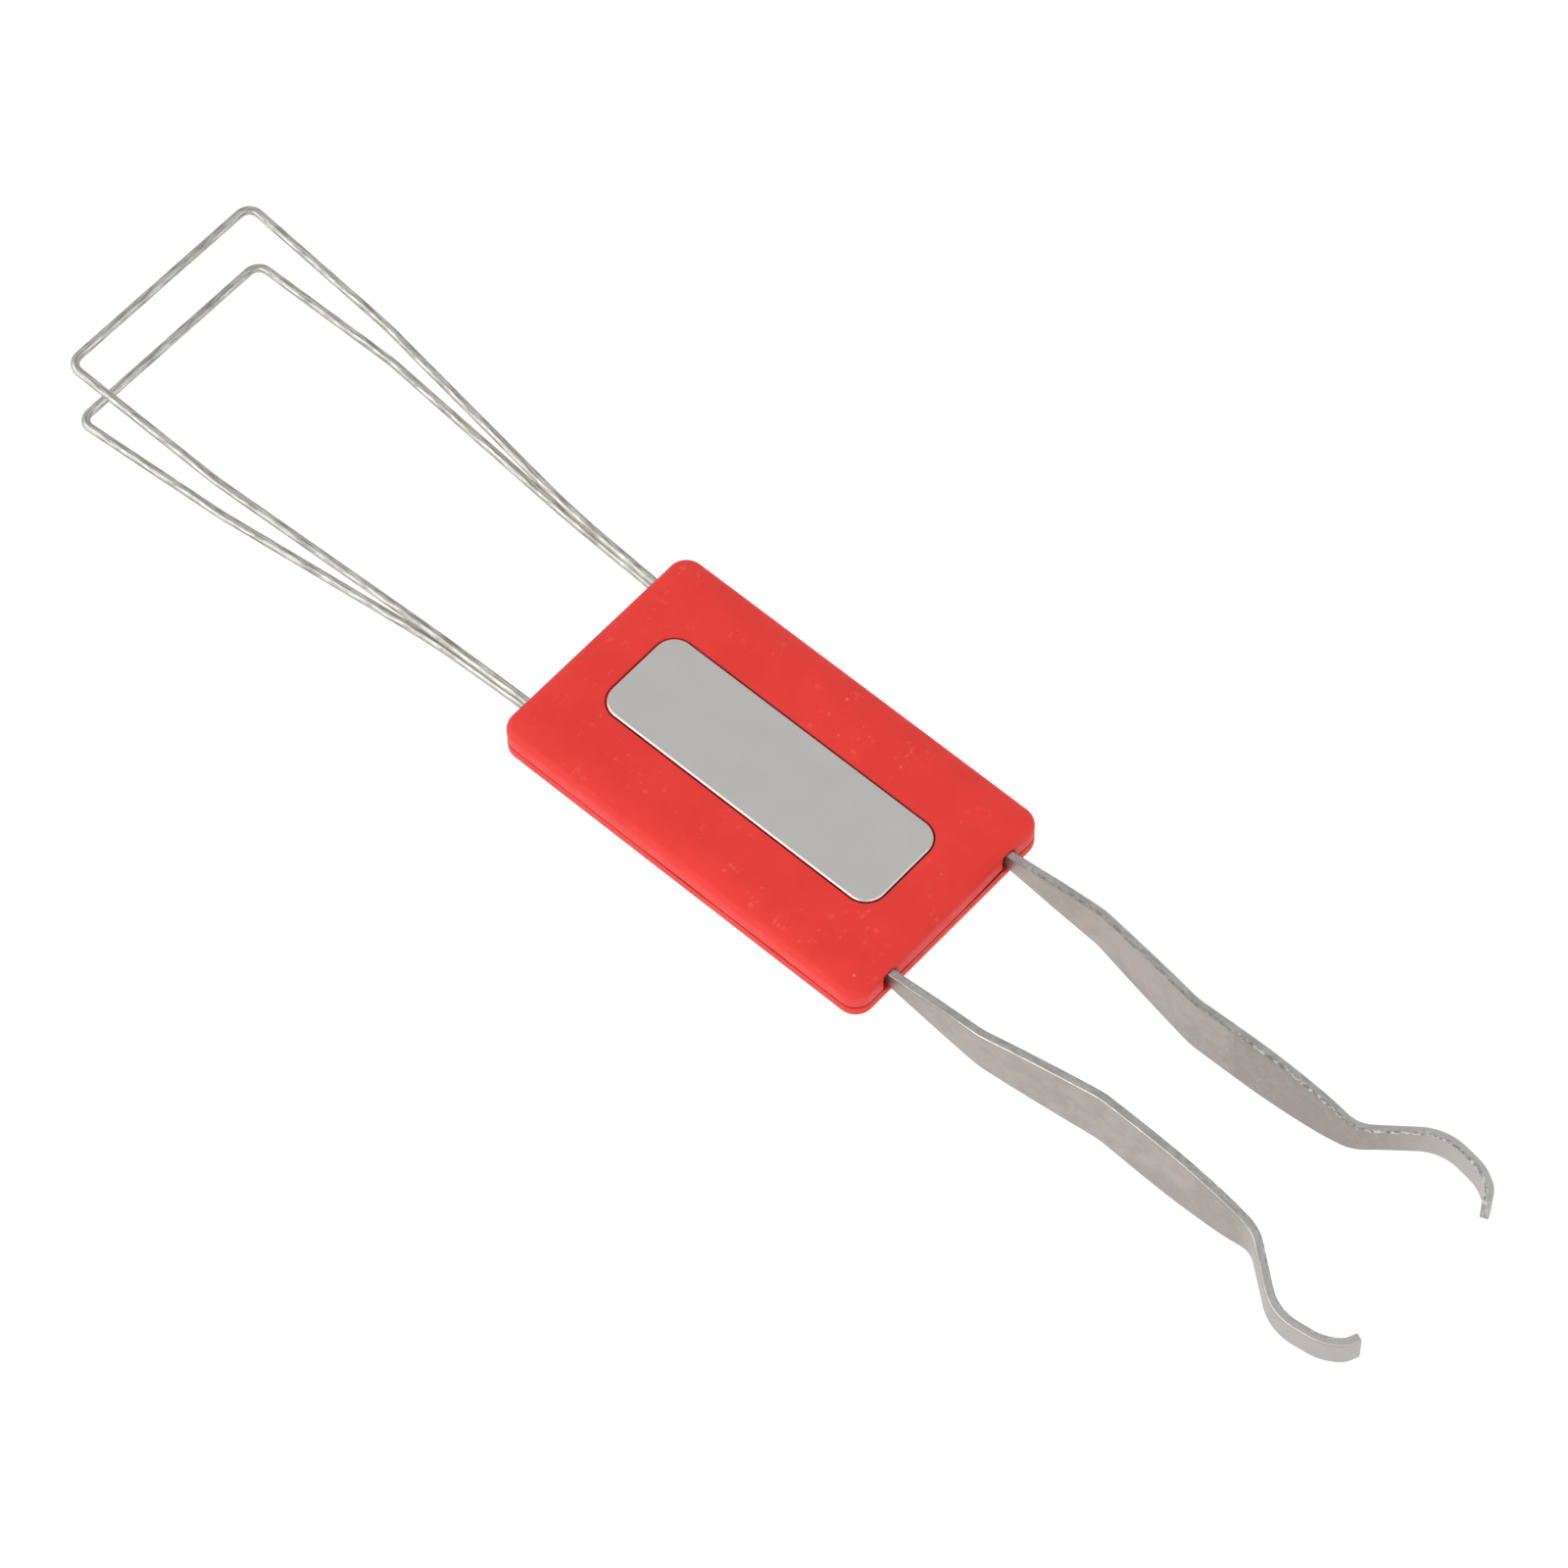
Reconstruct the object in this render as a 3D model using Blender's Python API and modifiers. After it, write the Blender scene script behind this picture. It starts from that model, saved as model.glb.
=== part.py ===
"""Two-in-one keyboard puller.

A flat moulded handle carries two sprung wire loops at one end, which lift keycaps, and two
sprung steel legs at the other, which pinch switches out of their plate. Inside the handle the
legs meet in a U-shaped bridge and the wires end in hooked tails behind moulded blocks.

Metres, +Z up. The origin is the centre of the handle's underside, +X points along the steel
legs and +Y is the handle's left side.
"""
import math

import bmesh
import bpy
from mathutils import Vector

MM = 0.001

# Handle: two moulded shells that meet low on the side walls.
HANDLE_LENGTH = 41.4 * MM
HANDLE_WIDTH = 24.0 * MM
HANDLE_HEIGHT = 4.0 * MM
CORNER_RADIUS = 1.8 * MM
TOP_FILLET = 1.2 * MM
BOTTOM_FILLET = 0.9 * MM
PARTING_Z = 1.2 * MM
PARTING_GAP = 0.3 * MM
WALL = 1.2 * MM
FLOOR_Z = 0.75 * MM
CEILING_Z = 3.05 * MM
MID_Z = HANDLE_HEIGHT / 2
END_X = HANDLE_LENGTH / 2

# Blank name plate on its adhesive film, in a shallow recess of the upper shell.
PLATE_LENGTH = 31.2 * MM
PLATE_WIDTH = 9.7 * MM
PLATE_RADIUS = 2.0 * MM
PLATE_FILLET = 0.1 * MM
PLATE_LOW_Z = 3.66 * MM
PLATE_TOP_Z = 4.12 * MM
FILM_LOW_Z = 3.54 * MM
FILM_TOP_Z = 3.62 * MM
FILM_INSET = 0.5 * MM
RECESS_Z = 3.5 * MM
RECESS_GAP = 0.2 * MM

# Spring wire of the two loops.
WIRE_RADIUS = 0.4 * MM
WIRE_SPACING = 1.0 * MM
WIRE_EXIT_Y = 8.1 * MM
WIRE_HINGE_X = -19.5 * MM
LOOP_ROOT_X = -19.35 * MM
TAIL_START_X = -19.05 * MM
LOOP_EASE_X = -31.0 * MM
LOOP_EASE_Y = 8.53 * MM
LOOP_EASE_RADIUS = 90.0 * MM
LOOP_BEND_X = -55.4 * MM
LOOP_BEND_Y = 10.9 * MM
LOOP_BEND_RADIUS = 22.0 * MM
LOOP_END_X = -72.7 * MM
LOOP_END_Y = 11.46 * MM
LOOP_CORNER_RADIUS = 1.2 * MM
# Height above the handle's middle plane at the ease, the bend and the bar of each loop.
UPPER_LOOP_RISE = (1.0 * MM, 3.85 * MM, 5.8 * MM)
LOWER_LOOP_RISE = (-0.4 * MM, -1.65 * MM, -3.25 * MM)
TAIL_HOOK_X = -11.4 * MM
TAIL_HOOK_Y = 4.6 * MM
TAIL_BEND_RADIUS = 1.0 * MM

# Steel strip of the legs and the bridge: plan view of the left leg, with a radius at each bend.
STRIP_THICKNESS = 0.8 * MM
STRIP_Z = MID_Z + 0.1 * MM
LEG_HINGE_X = 20.1 * MM
LEG_ROOT_X = 19.35 * MM
LEG_EXIT_Y = 7.66 * MM
LEG_PLAN = (
    (LEG_ROOT_X, LEG_EXIT_Y),
    (30.8 * MM, 7.77 * MM),
    (42.6 * MM, 6.0 * MM),
    (59.55 * MM, 6.42 * MM),
    (65.35 * MM, 11.1 * MM),
    (69.8 * MM, 10.5 * MM),
    (71.5 * MM, 9.45 * MM),
    (72.03 * MM, 8.2 * MM),
)
LEG_BEND_RADII = (9.0 * MM, 9.0 * MM, 3.3 * MM, 4.2 * MM, 3.0 * MM, 2.2 * MM)
# Half height of the leg's blank at stations along X: narrow root, deep belly, slim hook.
LEG_HALF_HEIGHTS = (
    (18.0 * MM, 0.85 * MM),
    (20.7 * MM, 0.98 * MM),
    (26.5 * MM, 1.99 * MM),
    (32.5 * MM, 2.82 * MM),
    (38.5 * MM, 3.36 * MM),
    (44.5 * MM, 3.62 * MM),
    (50.5 * MM, 3.64 * MM),
    (56.0 * MM, 2.95 * MM),
    (60.3 * MM, 1.68 * MM),
    (62.5 * MM, 1.55 * MM),
    (74.0 * MM, 1.55 * MM),
)
BLANK_HALF_DEPTH = 4.2 * MM
BLANK_STEP = 1.0 * MM
BRIDGE_END_X = 19.05 * MM
BRIDGE_BAR_X = 6.5 * MM
BRIDGE_BEND_RADIUS = 3.0 * MM
BRIDGE_HALF_HEIGHT = 0.8 * MM

# Openings in the end walls.
LEG_SLOT_WIDTH = 1.8 * MM
LEG_SLOT_LOW_Z = 0.8 * MM
LEG_SLOT_TOP_Z = 3.3 * MM
WIRE_SLOT_WIDTH = 1.5 * MM
WIRE_SLOT_LOW_Z = 0.85 * MM
WIRE_SLOT_TOP_Z = 3.15 * MM
SLOT_REACH = 2.5 * MM

# Alignment pins of the upper shell, in the ringed sockets of the lower one.
PIN_PLACES = (
    (-15.0 * MM, 0.0),
    (14.5 * MM, 0.0),
    (-3.0 * MM, 8.0 * MM),
    (-3.0 * MM, -8.0 * MM),
)
PIN_RADIUS = 0.7 * MM
PIN_END_Z = 1.3 * MM
SOCKET_RADIUS = 1.0 * MM
SOCKET_OUTER_RADIUS = 1.7 * MM
SOCKET_TOP_Z = 2.5 * MM
SOCKET_BOTTOM_Z = 0.9 * MM

# Blocks on the floor that hold the wire hooks and the bridge against a pull.
BLOCK_TOP_Z = 2.8 * MM
WIRE_BLOCK_LOW = (-18.4 * MM, 5.4 * MM)
WIRE_BLOCK_HIGH = (-12.2 * MM, 7.2 * MM)
SADDLE_LOW = (7.3 * MM, -4.3 * MM)
SADDLE_HIGH = (11.3 * MM, 4.3 * MM)

# A joined piece sinks this far into what it stands on; guides that split the shells reach this far.
SINK = 0.15 * MM
GUIDE_REACH = 60.0 * MM
# Points closer than this are one point.
WELD = 0.001 * MM

CORNER_SEGMENTS = 6
FILLET_SEGMENTS = 4
POST_SIDES = 24
WIRE_BEVEL_RESOLUTION = 2
STRIP_ARC_STEP = math.radians(9)
WIRE_ARC_STEP = math.radians(15)
SHARP_ANGLE = math.radians(35)
# Two rounded corners may each take this share of the straight between them.
CORNER_SHARE = 0.48

RED_PLASTIC = ((0.78, 0.055, 0.045), 0.45, 0.0)
RED_INSIDE = ((0.55, 0.03, 0.03), 0.55, 0.0)
BRUSHED_PLATE = ((0.46, 0.46, 0.44), 0.38, 1.0)
FILM = ((0.75, 0.74, 0.70), 0.6, 0.0)
SPRING_WIRE = ((0.62, 0.61, 0.58), 0.25, 1.0)
STRIP_STEEL = ((0.45, 0.43, 0.41), 0.4, 1.0)


def clear_scene():
    for obj in list(bpy.data.objects):
        bpy.data.objects.remove(obj, do_unlink=True)


def new_collection(name):
    collection = bpy.data.collections.new(name)
    bpy.context.scene.collection.children.link(collection)
    return collection


def make_material(name, finish):
    colour, roughness, metallic = finish
    material = bpy.data.materials.new(name)
    material.use_nodes = True
    shader = material.node_tree.nodes["Principled BSDF"]
    shader.inputs["Base Color"].default_value = (*colour, 1.0)
    shader.inputs["Roughness"].default_value = roughness
    shader.inputs["Metallic"].default_value = metallic
    return material


def put(name, mesh, collection, material=None, smooth=True):
    """Add a mesh as an object, with smooth faces and sharp edges past SHARP_ANGLE."""
    obj = bpy.data.objects.new(name, mesh)
    collection.objects.link(obj)
    if material:
        mesh.materials.append(material)
    if smooth:
        mesh.shade_smooth()
        mesh.set_sharp_from_angle(angle=SHARP_ANGLE)
    return obj


def as_cutter(obj):
    obj.hide_render = True
    obj.display_type = "WIRE"
    return obj


def slab_mesh(name, length, width, low_z, high_z, corner, top_fillet=0.0, bottom_fillet=0.0):
    """A flat block with rounded corners in plan and, if wanted, filleted top and bottom edges."""
    bm = bmesh.new()
    bmesh.ops.create_cube(bm, size=1.0)
    bmesh.ops.scale(bm, vec=(length, width, high_z - low_z), verts=bm.verts)
    bmesh.ops.translate(bm, vec=(0, 0, (low_z + high_z) / 2), verts=bm.verts)

    def bevel(edges, radius, segments):
        bmesh.ops.bevel(bm, geom=edges, offset=radius, segments=segments, profile=0.5,
                        affect="EDGES", clamp_overlap=True)

    upright = [e for e in bm.edges if abs(e.verts[0].co.z - e.verts[1].co.z) > WELD]
    bevel(upright, corner, CORNER_SEGMENTS)
    for radius, level in ((top_fillet, high_z), (bottom_fillet, low_z)):
        if radius:
            rim = [e for e in bm.edges if all(abs(v.co.z - level) < WELD for v in e.verts)]
            bevel(rim, radius, FILLET_SEGMENTS)
    bmesh.ops.remove_doubles(bm, verts=bm.verts, dist=WELD)
    bmesh.ops.recalc_face_normals(bm, faces=bm.faces)
    mesh = bpy.data.meshes.new(name)
    bm.to_mesh(mesh)
    bm.free()
    return mesh


def box_mesh(name, low, high):
    bm = bmesh.new()
    bmesh.ops.create_cube(bm, size=1.0)
    size = [h - l for l, h in zip(low, high)]
    middle = [(h + l) / 2 for l, h in zip(low, high)]
    bmesh.ops.scale(bm, vec=size, verts=bm.verts)
    bmesh.ops.translate(bm, vec=middle, verts=bm.verts)
    mesh = bpy.data.meshes.new(name)
    bm.to_mesh(mesh)
    bm.free()
    return mesh


def post_mesh(name, x, y, radius, low_z, high_z):
    bm = bmesh.new()
    bmesh.ops.create_cone(bm, cap_ends=True, segments=POST_SIDES, radius1=radius, radius2=radius,
                          depth=high_z - low_z)
    bmesh.ops.translate(bm, vec=(x, y, (low_z + high_z) / 2), verts=bm.verts)
    mesh = bpy.data.meshes.new(name)
    bm.to_mesh(mesh)
    bm.free()
    return mesh


def combine(target, tool, operation):
    """Join, cut or intersect the target with a tool object, which stays as a guide."""
    modifier = target.modifiers.new(f"{operation.lower()}_{tool.name}", "BOOLEAN")
    modifier.operation = operation
    modifier.object = tool
    modifier.solver = "EXACT"


def bend_path(points, radii, arc_step):
    """Round the inner corners of a chain of points, in the plane or in space."""
    points = [Vector(p).to_3d() if len(p) == 2 else Vector(p) for p in points]
    path = [points[0]]
    for before, corner, after, radius in zip(points, points[1:], points[2:], radii):
        to_before = (before - corner).normalized()
        to_after = (after - corner).normalized()
        half = to_before.angle(to_after) / 2
        reach = min(radius / math.tan(half), CORNER_SHARE * (before - corner).length,
                    CORNER_SHARE * (after - corner).length)
        true_radius = reach * math.tan(half)
        centre = corner + (to_before + to_after).normalized() * (true_radius / math.sin(half))
        start = corner + to_before * reach - centre
        turn = math.pi - 2 * half
        axis = start.cross(corner + to_after * reach - centre).normalized()
        steps = max(3, math.ceil(turn / arc_step))
        side = axis.cross(start)
        for i in range(steps + 1):
            angle = turn * i / steps
            path.append(centre + start * math.cos(angle) + side * math.sin(angle))
    path.append(points[-1])
    return path


def curve_object(name, path, collection, bevel=0.0, extrude=0.0):
    curve = bpy.data.curves.new(name, "CURVE")
    curve.dimensions = "3D"
    spline = curve.splines.new("POLY")
    spline.points.add(len(path) - 1)
    for point, place in zip(spline.points, path):
        point.co = (*place, 1.0)
    curve.bevel_depth = bevel
    curve.bevel_resolution = WIRE_BEVEL_RESOLUTION
    curve.extrude = extrude
    curve.use_fill_caps = bevel > 0
    obj = bpy.data.objects.new(name, curve)
    collection.objects.link(obj)
    return obj


def mesh_of(curve_obj, name):
    """The evaluated mesh of a curve object, welded; the curve is then removed."""
    depsgraph = bpy.context.evaluated_depsgraph_get()
    mesh = bpy.data.meshes.new_from_object(curve_obj.evaluated_get(depsgraph))
    mesh.name = name
    mesh.transform(curve_obj.matrix_world)
    bpy.data.objects.remove(curve_obj, do_unlink=True)
    bm = bmesh.new()
    bm.from_mesh(mesh)
    bmesh.ops.remove_doubles(bm, verts=bm.verts, dist=WELD)
    bmesh.ops.recalc_face_normals(bm, faces=bm.faces)
    bm.to_mesh(mesh)
    bm.free()
    mesh.materials.clear()
    return mesh


def set_origin(obj, place):
    """Move an object's origin to its joint axis and leave its shape where it is."""
    shift = Vector(place)
    for vertex in obj.data.vertices:
        vertex.co -= shift
    obj.location = shift


def add_shells(parts, cutters, material_top, material_low):
    outer_size = (HANDLE_LENGTH, HANDLE_WIDTH, 0.0, HANDLE_HEIGHT, CORNER_RADIUS, TOP_FILLET,
                  BOTTOM_FILLET)
    upper = put("upper_shell", slab_mesh("upper_shell", *outer_size), parts, material_top)
    lower = put("lower_shell", slab_mesh("lower_shell", *outer_size), parts, material_low)

    half_gap = PARTING_GAP / 2
    reach = GUIDE_REACH
    below = as_cutter(put("below_parting", box_mesh(
        "below_parting", (-reach, -reach, -reach), (reach, reach, PARTING_Z + half_gap)), cutters))
    above = as_cutter(put("above_parting", box_mesh(
        "above_parting", (-reach, -reach, PARTING_Z - half_gap), (reach, reach, reach)), cutters))
    cavity = as_cutter(put("cavity", slab_mesh(
        "cavity", HANDLE_LENGTH - 2 * WALL, HANDLE_WIDTH - 2 * WALL, FLOOR_Z, CEILING_Z,
        CORNER_RADIUS - WALL / 2), cutters))
    combine(upper, below, "DIFFERENCE")
    combine(lower, above, "DIFFERENCE")
    for shell in (upper, lower):
        combine(shell, cavity, "DIFFERENCE")

    recess = as_cutter(put("plate_recess", slab_mesh(
        "plate_recess", PLATE_LENGTH + 2 * RECESS_GAP, PLATE_WIDTH + 2 * RECESS_GAP, RECESS_Z,
        HANDLE_HEIGHT + MM, PLATE_RADIUS + RECESS_GAP), cutters))
    combine(upper, recess, "DIFFERENCE")

    for i, (x, y) in enumerate(PIN_PLACES):
        pin = as_cutter(put(f"pin_{i}", post_mesh(
            f"pin_{i}", x, y, PIN_RADIUS, PIN_END_Z, CEILING_Z + SINK), cutters))
        ring = as_cutter(put(f"ring_{i}", post_mesh(
            f"ring_{i}", x, y, SOCKET_OUTER_RADIUS, FLOOR_Z - SINK, SOCKET_TOP_Z), cutters))
        hole = as_cutter(put(f"socket_{i}", post_mesh(
            f"socket_{i}", x, y, SOCKET_RADIUS, SOCKET_BOTTOM_Z, SOCKET_TOP_Z + MM), cutters))
        combine(upper, pin, "UNION")
        combine(lower, ring, "UNION")
        combine(lower, hole, "DIFFERENCE")

    saddle = as_cutter(put("saddle", box_mesh(
        "saddle", (*SADDLE_LOW, FLOOR_Z - SINK), (*SADDLE_HIGH, BLOCK_TOP_Z)), cutters))
    combine(lower, saddle, "UNION")

    for side, name in ((1, "left"), (-1, "right")):
        y_pair = sorted((side * WIRE_BLOCK_LOW[1], side * WIRE_BLOCK_HIGH[1]))
        block = as_cutter(put(f"wire_block_{name}", box_mesh(
            f"wire_block_{name}", (WIRE_BLOCK_LOW[0], y_pair[0], FLOOR_Z - SINK),
            (WIRE_BLOCK_HIGH[0], y_pair[1], BLOCK_TOP_Z)), cutters))
        combine(lower, block, "UNION")

        leg_y = side * LEG_EXIT_Y
        leg_slot = as_cutter(put(f"leg_slot_{name}", box_mesh(
            f"leg_slot_{name}",
            (END_X - SLOT_REACH, leg_y - LEG_SLOT_WIDTH / 2, LEG_SLOT_LOW_Z),
            (END_X + SLOT_REACH, leg_y + LEG_SLOT_WIDTH / 2, LEG_SLOT_TOP_Z)), cutters))
        wire_y = side * WIRE_EXIT_Y
        wire_slot = as_cutter(put(f"wire_slot_{name}", box_mesh(
            f"wire_slot_{name}",
            (-END_X - SLOT_REACH, wire_y - WIRE_SLOT_WIDTH / 2, WIRE_SLOT_LOW_Z),
            (-END_X + SLOT_REACH, wire_y + WIRE_SLOT_WIDTH / 2, WIRE_SLOT_TOP_Z)), cutters))
        for shell in (upper, lower):
            combine(shell, leg_slot, "DIFFERENCE")
            combine(shell, wire_slot, "DIFFERENCE")


def add_plate(parts, plate_material, film_material):
    put("name_plate", slab_mesh(
        "name_plate", PLATE_LENGTH, PLATE_WIDTH, PLATE_LOW_Z, PLATE_TOP_Z, PLATE_RADIUS,
        top_fillet=PLATE_FILLET), parts, plate_material)
    put("plate_adhesive", slab_mesh(
        "plate_adhesive", PLATE_LENGTH - 2 * FILM_INSET, PLATE_WIDTH - 2 * FILM_INSET,
        FILM_LOW_Z, FILM_TOP_Z, PLATE_RADIUS - FILM_INSET), parts, film_material)


def add_wire_loop(name, exit_z, rises, parts, material):
    """One bent wire: out of the handle, flaring and rising to a square crossbar, and back."""
    left = [
        (LOOP_ROOT_X, WIRE_EXIT_Y, exit_z),
        (LOOP_EASE_X, LOOP_EASE_Y, MID_Z + rises[0]),
        (LOOP_BEND_X, LOOP_BEND_Y, MID_Z + rises[1]),
        (LOOP_END_X, LOOP_END_Y, MID_Z + rises[2]),
    ]
    right = [(x, -y, z) for x, y, z in reversed(left)]
    radii = [LOOP_EASE_RADIUS, LOOP_BEND_RADIUS, LOOP_CORNER_RADIUS]
    path = bend_path(left + right, radii + radii[::-1], WIRE_ARC_STEP)
    wire = curve_object(name, path, parts, bevel=WIRE_RADIUS)
    loop = put(name, mesh_of(wire, name), parts, material)
    set_origin(loop, (WIRE_HINGE_X, 0.0, exit_z))


def add_wire_tail(name, side, exit_z, parts, material):
    """The end of a wire inside the handle, hooked inwards behind its block."""
    path = bend_path(
        [(TAIL_START_X, side * WIRE_EXIT_Y, exit_z), (TAIL_HOOK_X, side * WIRE_EXIT_Y, exit_z),
         (TAIL_HOOK_X, side * TAIL_HOOK_Y, exit_z)], [TAIL_BEND_RADIUS], STRIP_ARC_STEP)
    tail = curve_object(name, path, parts, bevel=WIRE_RADIUS)
    put(name, mesh_of(tail, name), parts, material)


def strip_ribbon(name, plan, half_depth, parts):
    """A strip that stands on edge along a plan path, centred on the strip's own level."""
    ribbon = curve_object(name, [(p.x, p.y, STRIP_Z) for p in plan], parts, extrude=half_depth)
    mesh = mesh_of(ribbon, name)
    obj = put(name, mesh, parts)
    thick = obj.modifiers.new("thickness", "SOLIDIFY")
    thick.thickness = STRIP_THICKNESS
    thick.offset = 0.0
    thick.use_even_offset = True
    return obj


def half_height(x):
    """The blank's half height at x: a smooth curve through its stations."""
    stations = LEG_HALF_HEIGHTS
    last = len(stations) - 1
    k = max([i for i in range(last) if stations[i][0] <= x], default=0)

    def slope(i):
        (xa, ha), (xb, hb) = stations[max(i - 1, 0)], stations[min(i + 1, last)]
        return (hb - ha) / (xb - xa)

    (x0, h0), (x1, h1) = stations[k], stations[k + 1]
    reach = x1 - x0
    t = (x - x0) / reach
    return ((2 * t**3 - 3 * t**2 + 1) * h0 + (t**3 - 2 * t**2 + t) * reach * slope(k)
            + (3 * t**2 - 2 * t**3) * h1 + (t**3 - t**2) * reach * slope(k + 1))


def blank_profile(name, reach_y, cutters):
    """The side view of a leg's blank, filled and given a depth across the leg."""
    first_x, last_x = LEG_HALF_HEIGHTS[0][0], LEG_HALF_HEIGHTS[-1][0]
    steps = round((last_x - first_x) / BLANK_STEP)
    places = [first_x + (last_x - first_x) * i / steps for i in range(steps + 1)]
    upper = [(x, half_height(x)) for x in places]
    outline = upper + [(x, -h) for x, h in reversed(upper)]
    curve = bpy.data.curves.new(name, "CURVE")
    curve.dimensions = "2D"
    curve.fill_mode = "BOTH"
    curve.extrude = reach_y
    spline = curve.splines.new("POLY")
    spline.points.add(len(outline) - 1)
    spline.use_cyclic_u = True
    for point, (x, z) in zip(spline.points, outline):
        point.co = (x, z, 0.0, 1.0)
    obj = bpy.data.objects.new(name, curve)
    obj.location = (0, 0, STRIP_Z)
    obj.rotation_euler = (math.pi / 2, 0, 0)
    cutters.objects.link(obj)
    bpy.context.view_layer.update()
    return as_cutter(put(name, mesh_of(obj, name), cutters, smooth=False))


def add_leg(name, side, profile, parts, material):
    plan = bend_path([(x, side * y) for x, y in LEG_PLAN], LEG_BEND_RADII, STRIP_ARC_STEP)
    leg = strip_ribbon(name, plan, BLANK_HALF_DEPTH, parts)
    leg.data.materials.append(material)
    combine(leg, profile, "INTERSECT")
    set_origin(leg, (LEG_HINGE_X, side * LEG_EXIT_Y, STRIP_Z))


def add_bridge(parts, material):
    corners = [
        (BRIDGE_END_X, LEG_EXIT_Y),
        (BRIDGE_BAR_X, LEG_EXIT_Y),
        (BRIDGE_BAR_X, -LEG_EXIT_Y),
        (BRIDGE_END_X, -LEG_EXIT_Y),
    ]
    plan = bend_path(corners, [BRIDGE_BEND_RADIUS] * 2, STRIP_ARC_STEP)
    bridge = strip_ribbon("spring_bridge", plan, BRIDGE_HALF_HEIGHT, parts)
    bridge.data.materials.append(material)


def main():
    clear_scene()
    parts = new_collection("keycap_and_switch_puller")
    cutters = new_collection("cutters")
    red = make_material("red_plastic", RED_PLASTIC)
    red_low = make_material("red_plastic_low", RED_INSIDE)
    plate = make_material("brushed_plate", BRUSHED_PLATE)
    film = make_material("adhesive_film", FILM)
    wire = make_material("spring_wire", SPRING_WIRE)
    strip = make_material("strip_steel", STRIP_STEEL)

    add_shells(parts, cutters, red, red_low)
    add_plate(parts, plate, film)

    upper_z = MID_Z + WIRE_SPACING / 2
    lower_z = MID_Z - WIRE_SPACING / 2
    add_wire_loop("upper_wire_loop", upper_z, UPPER_LOOP_RISE, parts, wire)
    add_wire_loop("lower_wire_loop", lower_z, LOWER_LOOP_RISE, parts, wire)
    for level, z in (("upper", upper_z), ("lower", lower_z)):
        for side, hand in ((1, "left"), (-1, "right")):
            add_wire_tail(f"{level}_wire_tail_{hand}", side, z, parts, wire)

    add_bridge(parts, strip)
    profile = blank_profile("leg_blank", HANDLE_WIDTH, cutters)
    add_leg("left_leg_blade", 1, profile, parts, strip)
    add_leg("right_leg_blade", -1, profile, parts, strip)


main()
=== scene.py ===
"""Looks of a two-in-one keyboard puller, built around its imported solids.

Fine meshes stand for the two shells, the name plate, the wire loops and the steel legs. The
parts inside the handle keep their solids and get finished materials. Dimensions below are in
millimetres in the row frame; meshes are written in metres.
"""
import math

import bmesh
import bpy
from mathutils import Matrix, Vector, noise


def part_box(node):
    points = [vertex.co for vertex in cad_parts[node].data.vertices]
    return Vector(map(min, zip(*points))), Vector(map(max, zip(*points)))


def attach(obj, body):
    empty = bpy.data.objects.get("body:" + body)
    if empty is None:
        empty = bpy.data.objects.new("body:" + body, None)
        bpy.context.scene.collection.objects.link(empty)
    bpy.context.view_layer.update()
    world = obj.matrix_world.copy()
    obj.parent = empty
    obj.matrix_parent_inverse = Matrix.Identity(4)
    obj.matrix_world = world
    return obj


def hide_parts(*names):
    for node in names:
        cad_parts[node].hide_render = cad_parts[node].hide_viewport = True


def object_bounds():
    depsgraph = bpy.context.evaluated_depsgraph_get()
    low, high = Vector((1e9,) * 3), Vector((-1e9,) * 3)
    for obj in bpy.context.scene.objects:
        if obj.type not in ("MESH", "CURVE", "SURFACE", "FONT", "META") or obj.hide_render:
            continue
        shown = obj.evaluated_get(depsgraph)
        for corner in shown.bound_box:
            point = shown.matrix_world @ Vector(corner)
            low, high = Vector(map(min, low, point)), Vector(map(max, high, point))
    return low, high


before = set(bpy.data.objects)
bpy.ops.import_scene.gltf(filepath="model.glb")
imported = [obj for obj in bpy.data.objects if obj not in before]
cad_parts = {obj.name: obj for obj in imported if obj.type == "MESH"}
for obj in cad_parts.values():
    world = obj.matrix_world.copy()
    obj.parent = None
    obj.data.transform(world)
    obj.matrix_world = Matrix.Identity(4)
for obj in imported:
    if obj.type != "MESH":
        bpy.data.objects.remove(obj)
cad_low, cad_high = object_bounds()

MM = 0.001
SHARP_DEGREES = 40.0
GUIDE_SIDES = 32

# Camera: where it stands round the handle's middle, its turn about its own axis, and its lens.
CAMERA_AZIMUTH = -46.571
CAMERA_ELEVATION = 59.25
CAMERA_ROLL = -1.86
CAMERA_DISTANCE = 577.41
CAMERA_SIDESTEP = 1.252
CAMERA_LIFT = -0.284
CAMERA_LENS = 154.35
CAMERA_SENSOR = 36.0

# Handle shells. The parting gap wanders along the walls and widens beside the leg slots. The
# upper shell's rim steps in by a hair there and eases out again above it.
CORNER_RADIUS = 1.8
CORNER_SHRINK = 0.45
LEAST_CORNER_RADIUS = 0.5
EDGE_RADIUS = 0.9
SHOULDER_SLOPE = 20.0
SHOULDER_WIDTH = 2.4
EDGE_STEPS = 9
SHOULDER_STEPS = 8
FOOT_RADIUS = 0.3
FOOT_STEPS = 8
PARTING_Z = 1.3
PARTING_GAP = 0.08
PARTING_LEAST_GAP = 0.01
PARTING_WANDER = 0.08
WANDER_PLANE = 7.3
WANDER_SCALE = 0.22
PARTING_SPREADS = {"left": 0.34, "right": 0.14}
PARTING_SPREAD_REACH = 3.2
LIP_STEP = 0.03
LIP_RISES = (0.55, 0.85)
RIM_ROUND = 0.05
WALL = 1.2
WALL_FOOT = 0.2
WALL_TOP_BAND = 0.15
FLOOR_Z = 0.75
CEILING_Z = 3.05
RECESS_FLOOR_Z = 3.5
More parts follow.
